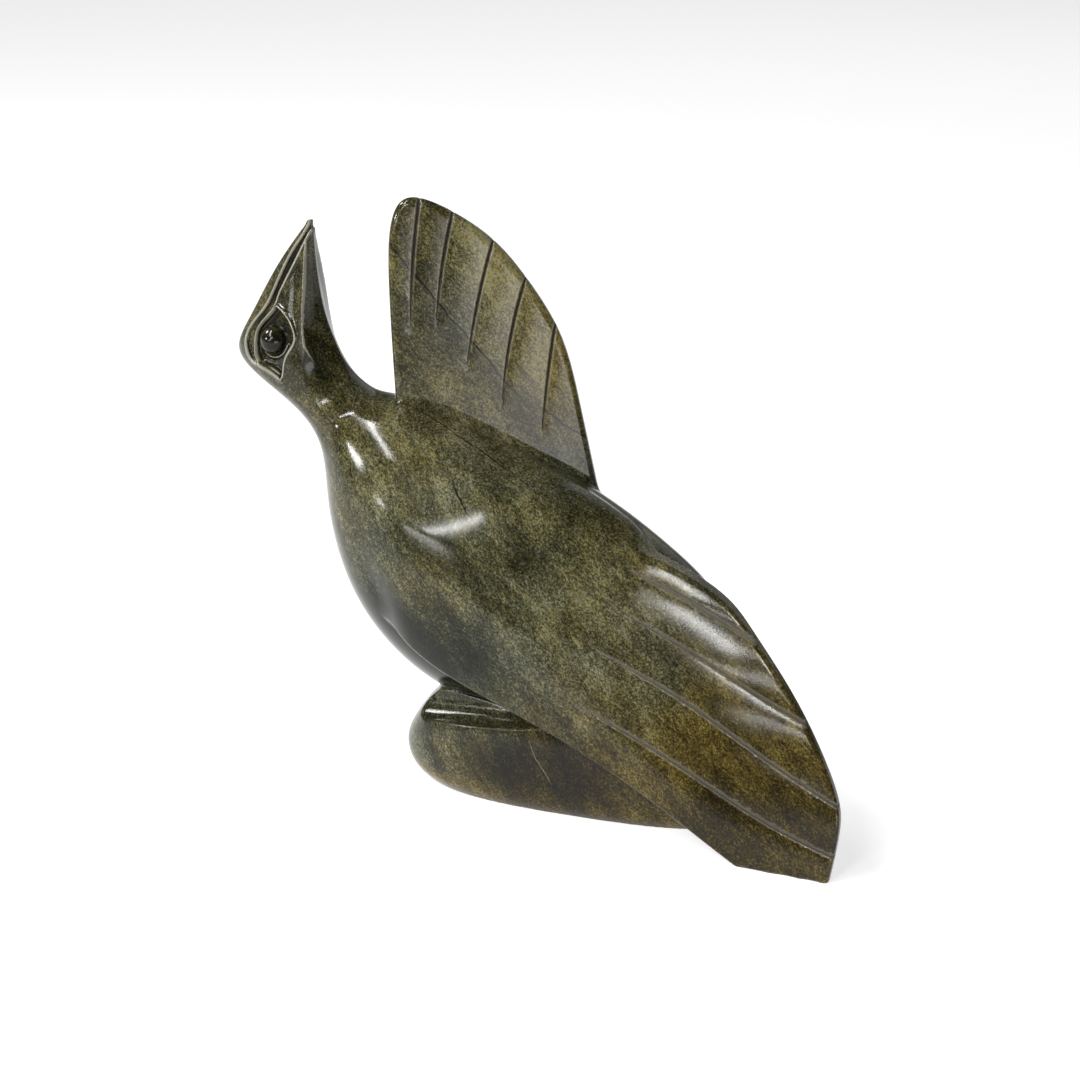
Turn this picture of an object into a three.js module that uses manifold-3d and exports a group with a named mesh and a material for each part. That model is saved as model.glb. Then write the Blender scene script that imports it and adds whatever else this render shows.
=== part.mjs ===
// A soapstone bird carved from one block together with the rock it sits on: head thrown back with the
// beak up, right wing raised from the back, left wing swept down until its tip stands on the ground.
// Millimetres, +Z up. X runs from the beak (-) to the tail (+), Y from the left wing (-) to the right (+).
import * as THREE from "three";
import { mergeVertices } from "three/addons/utils/BufferGeometryUtils.js";
import Module from "manifold-3d";

const wasm = await Module();
wasm.setup();

// ---- driving dimensions ----------------------------------------------------------------------------

// Beak, head, neck, body and tail are one tapering form. Each station is a cut across it: front and
// back are the [x, z] ends of the cut, half is its half width in Y, ridge is where along the cut the
// widest point sits (0 front, 1 back), and power is its superellipse exponent (under 2 is keeled).
const BODY_STATIONS = [
  { front: [-118, 265.5], back: [-114.5, 265.5], half: 2.2, ridge: 0.6, power: 1.8 }, // beak tip
  { front: [-134, 243], back: [-113, 247], half: 8.8, ridge: 0.66, power: 1.4 }, // beak
  { front: [-148, 219], back: [-108.5, 224], half: 14.5, ridge: 0.66, power: 1.4 }, // brow
  { front: [-156, 202], back: [-103, 207], half: 17.5, ridge: 0.62, power: 1.5 }, // eyes
  { front: [-146, 189.5], back: [-97, 193.5], half: 18, ridge: 0.54, power: 1.75 }, // jaw
  { front: [-125, 175.5], back: [-83, 184.5], half: 19.5, ridge: 0.5, power: 1.95 }, // neck
  { front: [-110.5, 156.5], back: [-62, 183.5], half: 27.5, ridge: 0.48, power: 2.0 }, // collar
  { front: [-105.5, 128], back: [-38, 174.5], half: 38.5, ridge: 0.48, power: 2.1 }, // shoulders
  { front: [-96, 94.5], back: [-10, 161], half: 44.5, ridge: 0.48, power: 2.2 }, // breast
  { front: [-77, 64], back: [16, 150], half: 45, ridge: 0.48, power: 2.2 }, // belly
  { front: [-43, 40], back: [40.5, 137.5], half: 42, ridge: 0.48, power: 2.2 }, // middle
  { front: [3, 32], back: [61.5, 124.5], half: 36, ridge: 0.48, power: 2.1 }, // rump
  { front: [45, 42], back: [80, 110.5], half: 26, ridge: 0.48, power: 2.05 }, // tail root
  { front: [80, 66.5], back: [93, 97], half: 14, ridge: 0.48, power: 2.0 }, // tail
  { front: [95, 79], back: [101, 90], half: 6, ridge: 0.48, power: 2.0 }, // tail tip
];
const RINGS_PER_STATION = 3;
const RING_POINTS = 30;

// Folded left wing, a leaf of stone. Each rib runs from the wing's upper edge to its lower edge, both
// [x, y, z]; bulge is how far the outer face swells between them, thick is the leaf's thickness.
const LEFT_WING_RIBS = [
  { top: [-84, -20, 166], low: [-86, -32, 104], bulge: 10, thick: 12 },
  { top: [-28, -26, 160], low: [-42, -48, 71], bulge: 14, thick: 12 },
  { top: [32, -25, 138], low: [20, -57, 48], bulge: 11, thick: 12 },
  { top: [85, -29, 119], low: [82, -65.5, 21], bulge: 6, thick: 10 },
  { top: [128, -43, 96], low: [136, -72, -8], bulge: 3, thick: 8 },
  { top: [172, -60, 66], low: [188, -78, -24], bulge: 1, thick: 6 },
];
const STEPS_PER_RIB = 4;
const STEPS_ACROSS_WING = 10;
const LEFT_TRAILING_EDGE = [ // [x, z], from the ground up to the rump
  [164, 0], [167, 22], [163, 42], [142.5, 73.5], [117.5, 99.5], [97, 115.5], [60, 130],
];

// Raised right wing, in its own upright plane turned RIGHT_WING_TURN from the bird's length.
// Its outline is [along, z]; the wing leans outward as it rises and thins towards its rim.
const RIGHT_WING_TURN = THREE.MathUtils.degToRad(20);
const RIGHT_WING_OFFSET = 24; // middle of the root, behind the bird's centre plane
const RIGHT_WING_ROOT_Z = 185;
const RIGHT_WING_LEAN = 0.1; // outward per height
const RIGHT_WING_ROOT_THICK = 13;
const RIGHT_WING_THIN = 0.06; // thickness lost per height
const RIGHT_LEADING_EDGE = [[-66, 150], [-69, 186], [-71.5, 236], [-70.5, 266], [-63, 279]];
const RIGHT_TRAILING_EDGE = [[-46, 275.5], [-24, 261.5], [-6.5, 242], [10, 215], [19.5, 182], [29, 138]];

// The rock under the belly: an outline in plan at each height, [x front, x rear, y left, y right].
const ROCK_LEVELS = [
  { z: 0, plan: [-54, 119, -46, 40] },
  { z: 7, plan: [-61, 123, -50, 44] },
  { z: 18, plan: [-63.5, 123, -51, 45] },
  { z: 29, plan: [-58.5, 118, -49, 43] },
  { z: 38, plan: [-52, 108, -45, 39] },
  { z: 46, plan: [-44, 94, -37, 33] },
  { z: 54, plan: [-34, 70, -27, 25] },
];
const ROCK_POWER = 2.8;
const ROCK_POINTS = 32;

// Feather grooves: V cuts from inside the wing out to its rim.
const GROOVE_DEPTH = 2.2;
const GROOVE_STEPS = 6;
// [rib position, share of the way across] at the inner end and at the rim
const LEFT_GROOVES = [
  [[2.4, 0.08], [3.95, 0.0]],
  [[2.43, 0.24], [4.6, 0.13]],
  [[2.31, 0.475], [4.95, 0.395]],
  [[2.04, 0.765], [4.95, 0.65]],
];
// [along, z] at the root end and at the rim
const RIGHT_GROOVES = [
  [[-61.5, 219], [-58, 284]],
  [[-51, 211], [-41, 280]],
  [[-36, 196], [-20.5, 266]],
  [[-18, 181], [-5, 250]],
  [[2.4, 164], [10, 228]],
];

// Eyes and the mouth line, cut on both sides of the head: [x, z]
const EYE_CENTRE = [-133, 209];
const EYE_RADIUS = 7;
const SOCKET_RADII = [11, 15]; // across the head and along it
const SOCKET_TURN = THREE.MathUtils.degToRad(28);
const SOCKET_DEPTH = 4;
const MOUTH_LINE = [[-117, 262], [-128, 232]];
const MOUTH_DEPTH = 2;

// ---- geometry helpers ------------------------------------------------------------------------------

// A smooth curve through points of two or three numbers, read by position in the list (0, 1, 2, ...).
function smoothThrough(points) {
  const curve = new THREE.CatmullRomCurve3(points.map((p) => new THREE.Vector3(...p)), false, "catmullrom");
  return (position) => curve.getPoint(THREE.MathUtils.clamp(position / (points.length - 1), 0, 1));
}

// A closed body from rings of equal length, with a flat fan over the first and the last ring.
function loft(rings) {
  const count = rings[0].length;
  const positions = rings.flat().flatMap((p) => [p.x, p.y, p.z]);
  const index = [];
  for (let r = 0; r < rings.length - 1; r++) {
    for (let i = 0; i < count; i++) {
      const a = r * count + i;
      const b = r * count + ((i + 1) % count);
      index.push(a, b, b + count, a, b + count, a + count);
    }
  }
  for (const [ring, forward] of [[0, false], [rings.length - 1, true]]) {
    const centre = positions.length / 3;
    const middle = rings[ring].reduce((sum, p) => sum.add(p), new THREE.Vector3()).divideScalar(count);
    positions.push(middle.x, middle.y, middle.z);
    for (let i = 0; i < count; i++) {
      const a = ring * count + i;
      const b = ring * count + ((i + 1) % count);
      index.push(...(forward ? [a, b, centre] : [b, a, centre]));
    }
  }
  const geometry = new THREE.BufferGeometry();
  geometry.setAttribute("position", new THREE.Float32BufferAttribute(positions, 3));
  geometry.setIndex(index);
  return geometry;
}

// A closed geometry as a solid, whichever way round its faces were listed.
function solidFrom(geometry) {
  const bare = geometry.clone();
  bare.deleteAttribute("normal");
  bare.deleteAttribute("uv");
  const merged = mergeVertices(bare, 1e-4);
  const vertProperties = new Float32Array(merged.attributes.position.array);
  const triVerts = new Uint32Array(merged.index.array);
  const solid = new wasm.Manifold(new wasm.Mesh({ numProp: 3, vertProperties, triVerts }));
  return solid.volume() > 0 ? solid : new wasm.Manifold(
    new wasm.Mesh({ numProp: 3, vertProperties, triVerts: triVerts.reverse() }),
  );
}

function geometryFrom(solid) {
  const mesh = solid.getMesh();
  const geometry = new THREE.BufferGeometry();
  geometry.setAttribute("position", new THREE.Float32BufferAttribute(mesh.vertProperties, 3));
  geometry.setIndex(new THREE.BufferAttribute(mesh.triVerts, 1));
  geometry.computeVertexNormals();
  return geometry;
}

// A superellipse's point at an angle, both coordinates from -1 to 1.
function superellipse(angle, power) {
  const bend = (value) => Math.sign(value) * Math.abs(value) ** (2 / power);
  return [bend(Math.cos(angle)), bend(Math.sin(angle))];
}

// A V-shaped cutter along a path of { at, out } samples lying on a surface, out being its outward normal.
function grooveCutter(samples, depthAt) {
  const above = 1.5;
  const rings = samples.map(({ at, out }, i) => {
    const before = samples[Math.max(i - 1, 0)].at;
    const after = samples[Math.min(i + 1, samples.length - 1)].at;
    const side = after.clone().sub(before).cross(out).normalize();
    const depth = depthAt(i / (samples.length - 1));
    const spread = (depth + above) * 0.75;
    const lip = at.clone().addScaledVector(out, above);
    return [
      lip.clone().addScaledVector(side, spread),
      lip.clone().addScaledVector(side, -spread),
      at.clone().addScaledVector(out, -depth),
    ];
  });
  return solidFrom(loft(rings));
}

// ---- the bird's parts ------------------------------------------------------------------------------

const bodyFront = smoothThrough(BODY_STATIONS.map((s) => [...s.front, 0]));
const bodyBack = smoothThrough(BODY_STATIONS.map((s) => [...s.back, 0]));
const bodyWidth = smoothThrough(BODY_STATIONS.map((s) => [s.half, s.ridge, s.power]));

function bodyPoint(station, angle) {
  const { x: half, y: ridge, z: power } = bodyWidth(station);
  const [along, aside] = superellipse(angle, power);
  const share = ridge + along * (along < 0 ? ridge : 1 - ridge);
  const cut = bodyFront(station).lerp(bodyBack(station), share);
  return new THREE.Vector3(cut.x, aside * half, cut.y);
}

function makeBody() {
  const rings = [];
  for (let r = 0; r <= (BODY_STATIONS.length - 1) * RINGS_PER_STATION; r++) {
    const ring = [];
    for (let i = 0; i < RING_POINTS; i++) {
      ring.push(bodyPoint(r / RINGS_PER_STATION, (i / RING_POINTS) * 2 * Math.PI));
    }
    rings.push(ring);
  }
  return solidFrom(loft(rings));
}

const leftTop = smoothThrough(LEFT_WING_RIBS.map((rib) => rib.top));
const leftLow = smoothThrough(LEFT_WING_RIBS.map((rib) => rib.low));
const leftLeaf = smoothThrough(LEFT_WING_RIBS.map((rib) => [rib.bulge, rib.thick, 0]));

// A point of the left wing's outer face, or of its inner face when inner is 1.
function leftWingPoint(position, across, inner = 0) {
  const { x: bulge, y: thick } = leftLeaf(position);
  const point = new THREE.Vector3().lerpVectors(leftTop(position), leftLow(position), across);
  point.y += inner * thick - bulge * 4 * across * (1 - across);
  return point;
}

function leftWingNormal(position, across) {
  const step = 0.02;
  const at = leftWingPoint(position, across);
  const along = leftWingPoint(position - step, across).sub(at);
  const down = leftWingPoint(position, across + step).sub(at);
  return along.cross(down).normalize();
}

// The wing's rim: everything behind the trailing edge and above the upper edge is cut away.
function leftWingOutline() {
  const shape = new THREE.Shape();
  const edge = LEFT_TRAILING_EDGE.map(([x, z]) => new THREE.Vector2(x, z));
  shape.moveTo(-120, -40);
  shape.lineTo(160, -40);
  shape.lineTo(edge[0].x, edge[0].y);
  shape.splineThru(edge.slice(1));
  shape.lineTo(-20, 190);
  shape.lineTo(-120, 190);
  const prism = new THREE.ExtrudeGeometry(shape, { depth: 140, bevelEnabled: false, curveSegments: 12 });
  prism.rotateX(Math.PI / 2);
  prism.translate(0, 40, 0);
  return solidFrom(prism);
}

function makeLeftWing() {
  const rings = [];
  for (let r = 0; r <= (LEFT_WING_RIBS.length - 1) * STEPS_PER_RIB; r++) {
    const outer = [];
    const inner = [];
    for (let i = 0; i <= STEPS_ACROSS_WING; i++) {
      const across = -0.08 + (1.08 * i) / STEPS_ACROSS_WING;
      outer.push(leftWingPoint(r / STEPS_PER_RIB, across));
      inner.unshift(leftWingPoint(r / STEPS_PER_RIB, across, 1));
    }
    rings.push([...outer, ...inner]);
  }
  return solidFrom(loft(rings)).intersect(leftWingOutline());
}

function leftGroove([start, end]) {
  const samples = [];
  for (let i = 0; i <= GROOVE_STEPS; i++) {
    const share = i / GROOVE_STEPS;
    const position = THREE.MathUtils.lerp(start[0], end[0], share);
    const across = THREE.MathUtils.lerp(start[1], end[1], share);
    samples.push({ at: leftWingPoint(position, across), out: leftWingNormal(position, across) });
  }
  return grooveCutter(samples, (share) => GROOVE_DEPTH * Math.min(1, 0.15 + 2 * share));
}

// A point of the right wing: side is -1 on its inner face (towards the head), 1 on its outer face.
function rightWingPoint(along, z, side) {
  const rise = z - RIGHT_WING_ROOT_Z;
  const thick = THREE.MathUtils.clamp(RIGHT_WING_ROOT_THICK - RIGHT_WING_THIN * rise, 5, 15);
  const out = RIGHT_WING_OFFSET + RIGHT_WING_LEAN * rise + (side * thick) / 2;
  const cos = Math.cos(RIGHT_WING_TURN);
  const sin = Math.sin(RIGHT_WING_TURN);
  return new THREE.Vector3(along * cos - out * sin, along * sin + out * cos, z);
}

function makeRightWing() {
  const shape = new THREE.Shape();
  const leading = RIGHT_LEADING_EDGE.map((p) => new THREE.Vector2(...p));
  const trailing = RIGHT_TRAILING_EDGE.map((p) => new THREE.Vector2(...p));
  shape.moveTo(-20, 125);
  shape.lineTo(leading[0].x, leading[0].y);
  shape.splineThru([...leading.slice(1), ...trailing]);
  const outline = shape.getPoints(4).filter((p, i, all) => i === 0 || p.distanceTo(all[i - 1]) > 0.5);
  const middle = new THREE.Vector2(-22, 190);
  const face = (side, share) => outline.map((p) => {
    const inward = p.clone().lerp(middle, share);
    return rightWingPoint(inward.x, inward.y, side);
  });
  // both faces as rings that shrink to the middle, joined round the rim
  const rings = [face(-1, 0.97), face(-1, 0.5), face(-1, 0), face(1, 0), face(1, 0.5), face(1, 0.97)];
  return solidFrom(loft(rings));
}

function rightGroove([root, rim], side) {
  const samples = [];
  for (let i = 0; i <= GROOVE_STEPS; i++) {
    const share = i / GROOVE_STEPS;
    const along = THREE.MathUtils.lerp(root[0], rim[0], share);
    const z = THREE.MathUtils.lerp(root[1], rim[1], share);
    const at = rightWingPoint(along, z, side);
    samples.push({ at, out: at.clone().sub(rightWingPoint(along, z, -side)).normalize() });
  }
  return grooveCutter(samples, (share) => GROOVE_DEPTH * Math.min(0.8, 0.1 + 1.5 * share));
}

function makeRock() {
  const steps = 2;
  const plans = smoothThrough(ROCK_LEVELS.map((level) => level.plan.slice(0, 3)));
  const depths = smoothThrough(ROCK_LEVELS.map((level) => [level.plan[3], level.z, 0]));
  const rings = [];
  for (let r = 0; r <= (ROCK_LEVELS.length - 1) * steps; r++) {
    const { x: front, y: rear, z: left } = plans(r / steps);
    const { x: right, y: z } = depths(r / steps);
    const ring = [];
    for (let i = 0; i < ROCK_POINTS; i++) {
      const [along, aside] = superellipse((i / ROCK_POINTS) * 2 * Math.PI, ROCK_POWER);
      const x = (front + rear) / 2 + (along * (rear - front)) / 2;
      const y = (left + right) / 2 + (aside * (right - left)) / 2;
      ring.push(new THREE.Vector3(x, y, z));
    }
    rings.push(ring);
  }
  return solidFrom(loft(rings));
}

// The side of the head nearest to a point of its outline plane, side being -1 left or 1 right.
function headSurface([x, z], side) {
  let nearest = { gap: Infinity };
  for (let station = 0; station <= 6; station += 0.05) {
    for (let angle = 0.1; angle < Math.PI; angle += 0.05) {
      const point = bodyPoint(station, side * angle);
      const gap = Math.hypot(point.x - x, point.z - z);
      if (gap < nearest.gap) nearest = { gap, point };
    }
  }
  return nearest.point;
}

// An almond hollow round the eye, narrowing up towards the beak, and the ball of the eye in it.
function carveEye(bird, side) {
  const surface = headSurface(EYE_CENTRE, side);
  const socket = new THREE.SphereGeometry(1, 20, 12);
  socket.scale(SOCKET_RADII[0], SOCKET_DEPTH * 1.6, SOCKET_RADII[1]);
  socket.rotateY(SOCKET_TURN);
  socket.translate(EYE_CENTRE[0], surface.y + side * SOCKET_DEPTH * 0.4, EYE_CENTRE[1]);
  const ball = new THREE.SphereGeometry(EYE_RADIUS, 16, 10);
  ball.translate(EYE_CENTRE[0], surface.y - side * (EYE_RADIUS + 0.2), EYE_CENTRE[1]);
  return bird.subtract(solidFrom(socket)).add(solidFrom(ball));
}

function mouthCutter(side) {
  const samples = [];
  for (let i = 0; i <= GROOVE_STEPS; i++) {
    const share = i / GROOVE_STEPS;
    const x = THREE.MathUtils.lerp(MOUTH_LINE[0][0], MOUTH_LINE[1][0], share);
    const z = THREE.MathUtils.lerp(MOUTH_LINE[0][1], MOUTH_LINE[1][1], share);
    samples.push({ at: headSurface([x, z], side), out: new THREE.Vector3(0, side, 0) });
  }
  return grooveCutter(samples, () => MOUTH_DEPTH);
}

function groundBlock() {
  const block = new THREE.BoxGeometry(600, 400, 100);
  block.translate(0, 0, -50);
  return solidFrom(block);
}

// ---- assembly --------------------------------------------------------------------------------------

function makeBird() {
  let bird = makeBody().add(makeLeftWing()).add(makeRightWing()).add(makeRock());
  for (const groove of LEFT_GROOVES) bird = bird.subtract(leftGroove(groove));
  for (const groove of RIGHT_GROOVES) {
    bird = bird.subtract(rightGroove(groove, -1)).subtract(rightGroove(groove, 1));
  }
  for (const side of [-1, 1]) bird = carveEye(bird, side).subtract(mouthCutter(side));
  return geometryFrom(bird.subtract(groundBlock()));
}

// The origin is the middle of the carving's footprint box, on the ground.
const geometry = makeBird();
geometry.computeBoundingBox();
const middle = geometry.boundingBox.getCenter(new THREE.Vector3());
geometry.translate(-middle.x, -middle.y, 0);

const stone = new THREE.MeshStandardMaterial({ color: 0x5d5a42, roughness: 0.25, metalness: 0 });
const carving = new THREE.Mesh(geometry, stone);
carving.name = "bird_carving";

const root = new THREE.Group();
root.add(carving);
export default root;
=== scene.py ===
import bpy
import numpy as np
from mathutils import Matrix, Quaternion, Vector


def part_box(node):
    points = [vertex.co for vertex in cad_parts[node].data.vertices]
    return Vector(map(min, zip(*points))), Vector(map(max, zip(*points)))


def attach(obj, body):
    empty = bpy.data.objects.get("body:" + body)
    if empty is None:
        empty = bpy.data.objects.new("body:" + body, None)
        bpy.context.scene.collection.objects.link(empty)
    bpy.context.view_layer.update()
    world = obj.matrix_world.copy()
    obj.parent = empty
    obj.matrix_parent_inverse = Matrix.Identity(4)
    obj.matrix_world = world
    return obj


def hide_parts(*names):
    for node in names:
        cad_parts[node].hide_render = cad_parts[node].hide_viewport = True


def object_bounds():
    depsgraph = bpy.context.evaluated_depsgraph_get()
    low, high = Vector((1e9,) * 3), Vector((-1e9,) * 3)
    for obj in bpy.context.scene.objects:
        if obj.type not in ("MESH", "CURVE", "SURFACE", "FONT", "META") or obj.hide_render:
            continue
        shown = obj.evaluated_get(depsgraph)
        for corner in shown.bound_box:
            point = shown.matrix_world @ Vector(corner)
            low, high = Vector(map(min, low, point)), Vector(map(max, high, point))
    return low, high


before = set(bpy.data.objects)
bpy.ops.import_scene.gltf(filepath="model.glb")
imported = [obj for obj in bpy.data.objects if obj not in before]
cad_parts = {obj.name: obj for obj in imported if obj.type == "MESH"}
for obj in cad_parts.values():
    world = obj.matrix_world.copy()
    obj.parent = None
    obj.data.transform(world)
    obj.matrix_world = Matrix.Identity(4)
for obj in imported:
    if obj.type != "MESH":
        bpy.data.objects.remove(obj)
cad_low, cad_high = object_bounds()

CAD_NODE = "bird_carving"
BODY_NAME = "root"
MM = 0.001


# ---- the carving's shape, in millimetres: X beak (-) to tail (+), Y left (-) to right (+), Z up ----

# Beak, head, neck, body and tail are one tapering form. Each row is a cut across it: the cut's front
# end (x, z), its back end (x, z), half width in Y, where along the cut the widest point sits, and the
# superellipse powers before and behind that point (near 1 is flat, 2 is round).
BODY = [
    (-118, 265.5, -114.5, 265.5, 2.2, 0.75, 1.8, 1.4),  # beak tip
    (-134.5, 243, -113.5, 247, 8.6, 0.88, 1.6, 1.1),  # beak
    (-148.5, 219, -110, 224, 14, 0.87, 1.65, 1.08),  # brow
    (-156, 202, -104, 207, 17, 0.81, 1.75, 1.25),  # eyes
    (-146, 189.5, -97, 193.5, 18, 0.64, 1.85, 1.75),  # jaw
    (-125, 175.5, -83, 184.5, 19.5, 0.5, 1.95, 1.95),  # neck
    (-110.5, 156.5, -62, 183.5, 27.5, 0.48, 2, 2),  # collar
    (-105.5, 128, -38, 174.5, 38.5, 0.48, 2.1, 2.1),  # shoulders
    (-96, 94.5, -10, 161, 44.5, 0.48, 2.2, 2.2),  # breast
    (-77, 64, 16, 150, 45, 0.48, 2.2, 2.2),  # belly
    (-43, 40, 40.5, 137.5, 42, 0.48, 2.2, 2.2),  # middle
    (3, 32, 61.5, 124.5, 36, 0.48, 2.1, 2.1),  # rump
    (45, 42, 80, 110.5, 26, 0.48, 2.05, 2.05),  # tail root
    (80, 66.5, 93, 97, 14, 0.48, 2, 2),  # tail
    (95, 79, 101, 90, 6, 0.48, 2, 2),  # tail tip
]

# Folded left wing. Each row is a rib across it: upper edge (x, z), lower edge (x, z), Y of both
# edges, how far the outer face swells between them, and the thickness of the leaf.
LEFT_WING = [
    (-84, 166, -86, 104, -20, -32, 10, 12),
    (-28, 160, -42, 71, -26, -48, 14, 12),
    (32, 138, 20, 48, -25, -57, 11, 12),
    (85, 119, 82, 21, -29, -65.5, 6, 10),
    (128, 96, 136, -8, -43, -72, 3, 8),
    (172, 66, 188, -24, -60, -78, 1, 6),
]
# Its rim (x, z): from the ground up the trailing edge and along the upper edge into the back.
LEFT_RIM = [(164, -2), (167, 22), (163, 42), (142.5, 73.5), (117.5, 99.5), (97, 115), (60, 129)]
# The rest of its outline (x, z), which lies inside the body or beyond the ribs.
LEFT_OUTLINE_BELOW = [(-92, 158), (-90, 100), (-60, 60), (60, -20), (160, -40)]
LEFT_OUTLINE_ABOVE = [(20, 141), (-12, 149), (-45, 156)]
LEFT_RIM_ROUNDING = 2
# Distances measured in Y are this much too long, because the leaf's faces slope.
LEFT_FACE_SLOPE = 0.93
# How far the wing's front sinks into the breast, and its shoulder into the back: the depth, then the
# x where it starts to fade and the length of the fade. The shoulder's also fades across the wing.
FRONT_SINK = (11, -92, 45)
SHOULDER_SINK = (12, -55, 45)
SHOULDER_SINK_ACROSS = (0.02, 0.3)
# How softly the wing runs into the body: at its seam, and how much softer over the shoulder. The
# softness fades across the wing, towards the tail and towards the throat (start and length).
SEAM_BLEND = 3
SHOULDER_BLEND = 15
SHOULDER_BLEND_ACROSS = (0.55, 0.35)
SHOULDER_BLEND_TAIL = (45, 35)
SHOULDER_BLEND_THROAT = (-98, 40)
TAIL_HARDENING = 0.93
# Feather cuts: (rib position, share of the way across) at the inner end and at the rim, how far the
# cut bows, then how far the stone rolls down towards the cut above it and below it.
LEFT_CUTS = [
    ((2.36, 0.072), (3.8, 0.025), 0.023, 1.3, 0.9),
    ((2.38, 0.249), (4.4, 0.162), 0.047, 0.6, 1.2),
    ((2.2, 0.466), (4.8, 0.408), 0.025, 0.2, 0.7),
    ((2.04, 0.763), (4.8, 0.655), 0.029, 0.2, 0.6),
]

# Raised right wing, in an upright plane turned RIGHT_TURN from the bird's length: (along, z).
RIGHT_TURN = np.radians(20)
RIGHT_OFFSET = 24
RIGHT_ROOT_Z = 185
RIGHT_LEAN = 0.1
RIGHT_ROOT_THICK = 13
RIGHT_THIN = 0.06
RIGHT_THICK_RANGE = (5, 16)
RIGHT_RIM_ROUNDING = 4
RIGHT_BLEND = 4.5
# The cuts on its rear face, as a share of the depth of those in front.
REAR_CUT_SHARE = 0.7
RIGHT_LEADING = [(-66, 150), (-69, 186), (-71.5, 236), (-70.5, 266), (-63, 279)]
RIGHT_TRAILING = [(-46, 275.5), (-24, 261.5), (-6.5, 242), (10, 215), (19.5, 182), (29, 138)]
RIGHT_FOOT = (-20, 118)
# Its feather cuts: (along, z) at the inner end and at the rim, the bow, and the roll before and behind.
RIGHT_CUTS = [
    ((-61.1, 214), (-56.6, 279), -1.2, 0.2, 0.5),
    ((-49, 218), (-41, 273), -1.4, 0.2, 1),
    ((-34.9, 196), (-22, 260), -1.5, 0.2, 1),
    ((-17.8, 180), (-5.5, 246), -2.4, 0.2, 1),
    ((1, 164), (8.4, 226), -0.8, 0.5, 0.6),
]

# The rock: height, then the plan's front and rear x, left and right y.
ROCK = [
    (0, -54, 119, -46, 40),
    (7, -61, 123, -50, 44),
    (18, -63.5, 123, -51, 45),
    (29, -58.5, 118, -50.5, 43),
    (38, -52, 108, -49, 39),
    (46, -44, 94, -46.5, 33),
    (54, -34, 70, -42, 25),
]
ROCK_POWER = 2.8
ROCK_TOP = 46.4
ROCK_ROUNDING = 2
ROCK_BLEND = 1.5
# Distances measured in Y are this much too long, because the rock's sides slope.
ROCK_SIDE_SLOPE = 0.85
# A hollow gouged along its front left shoulder: the gouge's axis from end to end, and its radius.
HOLLOW_START = (-52, -31.5, 42)
HOLLOW_END = (-2, -46, 50.5)
HOLLOW_RADIUS = 10
HOLLOW_ROUNDING = 0.8

# Mouth, lids and crest of the head in the side plane (x, z).
MOUTH_FRONT = [
    (-114.5, 268.5), (-118.5, 260.5), (-125, 250.5), (-132.5, 234.5), (-138.5, 223.5), (-147, 213),
    (-148, 204), (-144, 198), (-136, 195.5), (-125.8, 190.8),
]
MOUTH_BACK = [(-113, 268), (-116, 260), (-124, 243.5), (-129.5, 232.5), (-130.9, 226.8)]
LID_BACK = [
    (-130.9, 226.8), (-124.1, 222.4), (-119.8, 216), (-119.6, 210), (-123.5, 203.2), (-124.9, 197),
    (-125.8, 191),
]
LID_FRONT = [
    (-131.2, 226.8), (-135.4, 221.4), (-141, 215), (-142.8, 207.5), (-141, 198.5), (-134, 195.6),
    (-125.8, 191.8),
]
CREST = [
    (-115.9, 262), (-115.6, 250), (-114.9, 236), (-114.7, 220), (-113.5, 211), (-110.5, 203.5),
    (-104.5, 193.8),
]
EYE = (-132.2, 209)
EYE_RADIUS = 7
EYE_CENTRE_Y = 9.6
# Depth or height of each line of the head's relief, and how far it reaches from the line.
MOUTH_DEPTH = 2
MOUTH_REACH = 1.5
LIP_HEIGHT = 0.7
LIP_PLACE = 0.4
LIP_REACH = 0.6
LID_HEIGHT = 2.2
LID_REACH = 0.9
SOCKET_DEPTH = 2.6
SOCKET_PLACE = 0.6
SOCKET_REACH = 1.6
RING_RADIUS = 7.7
RING_HEIGHT = 1.9
RING_REACH = 0.7
CREST_HEIGHT = 1
CREST_REACH = 1.2
CREST_FADES = (0.1, 0.35)
CHEEK_DEPTH = 0.9
CHEEK_PLACE = 5
CHEEK_REACH = 3.2
CHEEK_FROM_MOUTH = 3
# The relief ends behind this x and below this z.
RELIEF_BACK = -97
RELIEF_LOW = 185

# A shallow valley that parts the shoulder from the neck (x, z).
SHOULDER_VALLEY = [(-100, 168), (-93.4, 175.5), (-88.8, 180.4), (-77.9, 181.6), (-66, 180), (-50, 174.5)]
VALLEY_DEPTH = 1.3
VALLEY_REACH = 5


# ---- small helpers ----

FAR = 1e9  # stands for a distance not found yet
TINY = 1e-9  # keeps a quotient finite


def blend_min(a, b, radius):
    """The lower of two distances, with a fillet of about radius between them."""
    share = np.clip(0.5 + 0.5 * (b - a) / radius, 0.0, 1.0)
    return b + (a - b) * share - radius * share * (1.0 - share)


def blend_max(a, b, radius):
    """The higher of two distances, with the edge between them rounded."""
    return -blend_min(-a, -b, radius)


def ease(value):
    """0 below 0 and 1 above 1, with a smooth step between."""
    value = np.clip(value, 0.0, 1.0)
    return value * value * (3.0 - 2.0 * value)


def rise_from(value, start, length):
    """0 up to start, then rising smoothly to 1 over length."""
    return ease((value - start) / length)


def fade_from(value, start, length):
    """1 up to start, then fading smoothly to 0 over length."""
    return 1.0 - rise_from(value, start, length)


def bell(value):
    """A rounded bump: 1 at 0, fading to nothing by about 2."""
    return np.exp(-(value**2))


def ridge(gap, height, reach):
    """A sharp ridge of that height where gap is 0."""
    return height * np.exp(-np.abs(gap) / reach)


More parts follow.
